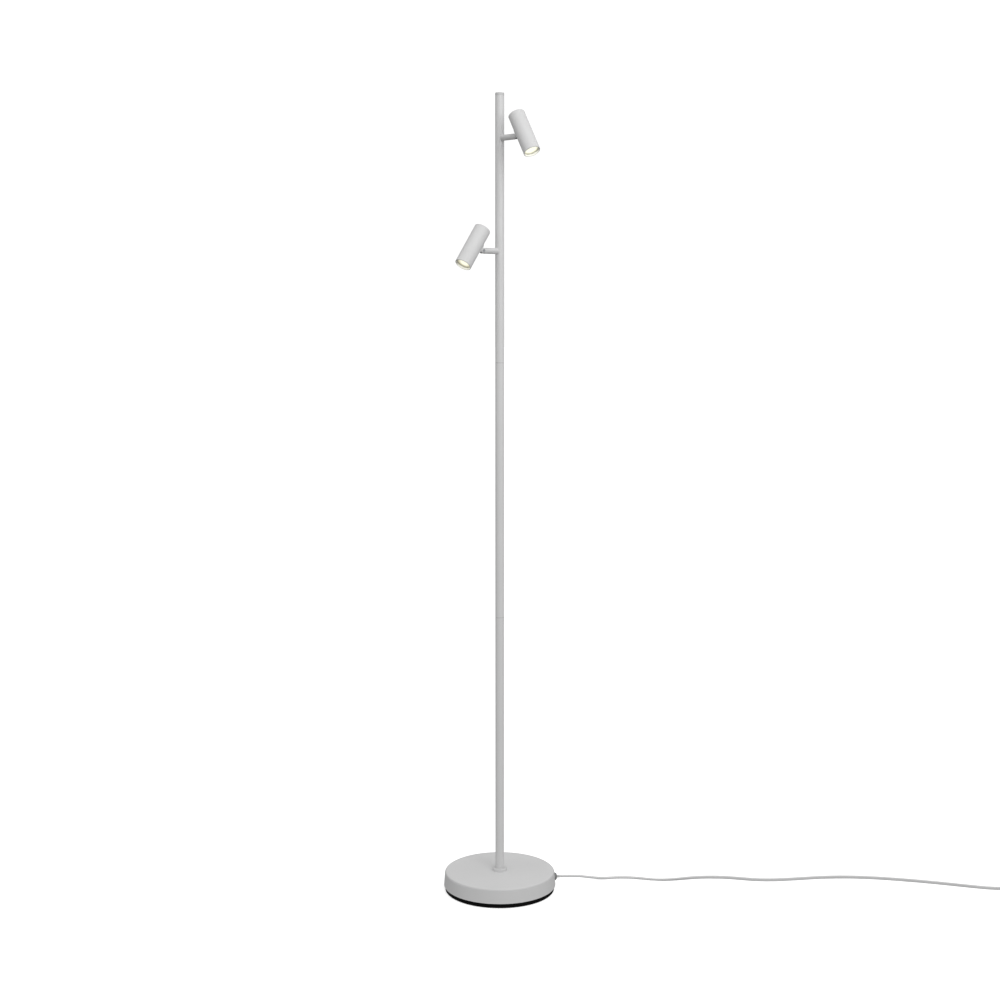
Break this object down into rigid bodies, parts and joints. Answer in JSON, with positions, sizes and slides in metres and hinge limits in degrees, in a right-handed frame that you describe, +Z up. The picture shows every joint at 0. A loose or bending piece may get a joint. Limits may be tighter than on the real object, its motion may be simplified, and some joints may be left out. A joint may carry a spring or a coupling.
{
  "type": "floor lamp",
  "caption": "Slim floor lamp with a round weighted base, a three-part pole and two short arms with cylindrical spot heads that swivel and tilt",
  "frame": {"origin": "on the floor under the pole, at the centre of the round base", "axes": "+Z up along the pole; -Y is the front, towards the viewer of the picture; +X is the side that the cord leaves on"},
  "size_m": [1.2258, 0.207, 1.45],
  "materials": {
    "light_grey_metal": "satin powder coat",
    "black_plinth": "matte",
    "foot_rubber": "matte",
    "cast_iron": "rough",
    "zinc_steel": "zinc plated",
    "brass": "turned",
    "trim_ring": "satin",
    "plain_aluminium": "satin",
    "reflector_metal": "bright",
    "circuit_board": "matte",
    "lit_lens": "frosted, lit from behind",
    "driver_plastic": "matte",
    "dark_plastic": "matte",
    "grey_cord": "matte sheath",
    "grey_plastic": "matte",
    "lead_sheath": "matte",
    "bright_steel": "nickel plated"
  },
  "bodies": {
    "root": {"base_cover": "light_grey_metal", "base_weight": "cast_iron", "bottom_plate": "black_plinth", "foot_ring": "foot_rubber", "base_screws": "zinc_steel", "pole_nipple": "zinc_steel", "nipple_nut": "zinc_steel", "led_driver": "driver_plastic", "cord_clamp": "driver_plastic", "clamp_screws": "zinc_steel", "cord_gland": "dark_plastic", "lower_tube": "light_grey_metal", "middle_tube": "light_grey_metal", "upper_tube": "light_grey_metal", "foot_insert": "zinc_steel", "lower_coupler": "plain_aluminium", "upper_coupler": "plain_aluminium", "pole_collar": "light_grey_metal", "pole_cap": "light_grey_metal", "mains_tail": "grey_cord", "mains_cord": "grey_cord", "switch_lead": "grey_cord", "cord_coil": "grey_cord", "plug_lead": "grey_cord", "plug_body": "grey_plastic", "plug_pins": "bright_steel", "switch_base": "grey_plastic", "switch_cover": "grey_plastic", "upper_arm": "light_grey_metal", "upper_arm_anchor": "zinc_steel", "upper_lead": "lead_sheath", "lower_arm": "light_grey_metal", "lower_arm_anchor": "zinc_steel", "lower_lead": "lead_sheath"},
    "upper_swivel": {"upper_yoke": "light_grey_metal", "upper_pivot_screw": "zinc_steel", "upper_friction_washers": "dark_plastic"},
    "upper_head": {"upper_tongue": "light_grey_metal", "upper_tongue_screws": "zinc_steel", "upper_shell": "light_grey_metal", "upper_rear_cap": "light_grey_metal", "upper_heat_sink": "plain_aluminium", "upper_led_board": "circuit_board", "upper_reflector": "reflector_metal", "upper_lens": "lit_lens", "upper_lens_ring": "trim_ring"},
    "lower_swivel": {"lower_yoke": "light_grey_metal", "lower_pivot_screw": "zinc_steel", "lower_friction_washers": "dark_plastic"},
    "lower_head": {"lower_tongue": "light_grey_metal", "lower_tongue_screws": "zinc_steel", "lower_shell": "light_grey_metal", "lower_rear_cap": "light_grey_metal", "lower_heat_sink": "plain_aluminium", "lower_led_board": "circuit_board", "lower_reflector": "reflector_metal", "lower_lens": "lit_lens", "lower_lens_ring": "trim_ring"},
    "switch_button": {"switch_button": "dark_plastic"}
  },
  "joints": [
    {"name": "upper_swivel_joint", "type": "hinge", "parent": "root", "child": "upper_swivel", "pos_m": [0.01826, -0.0238, 1.3717], "axis": [0.6088, -0.7934, 0], "range_deg": [-170, 170]},
    {"name": "upper_tilt_joint", "type": "hinge", "parent": "upper_swivel", "child": "upper_head", "pos_m": [0.02752, -0.03586, 1.3717], "axis": [-0.7934, -0.6088, 0], "range_deg": [-78.5, 56.5]},
    {"name": "lower_swivel_joint", "type": "hinge", "parent": "root", "child": "lower_swivel", "pos_m": [-0.02038, -0.02201, 1.1753], "axis": [-0.6794, -0.7337, 0], "range_deg": [-170, 170]},
    {"name": "lower_tilt_joint", "type": "hinge", "parent": "lower_swivel", "child": "lower_head", "pos_m": [-0.03071, -0.03317, 1.1753], "axis": [-0.7337, 0.6794, 0], "range_deg": [-83.4, 51.6]},
    {"name": "switch_button_joint", "type": "slide", "parent": "root", "child": "switch_button", "axis": [0, 0, -1], "range_m": [0, 0.0025], "stiffness_N_per_m": 400, "springref_m": -0.003}
  ]
}
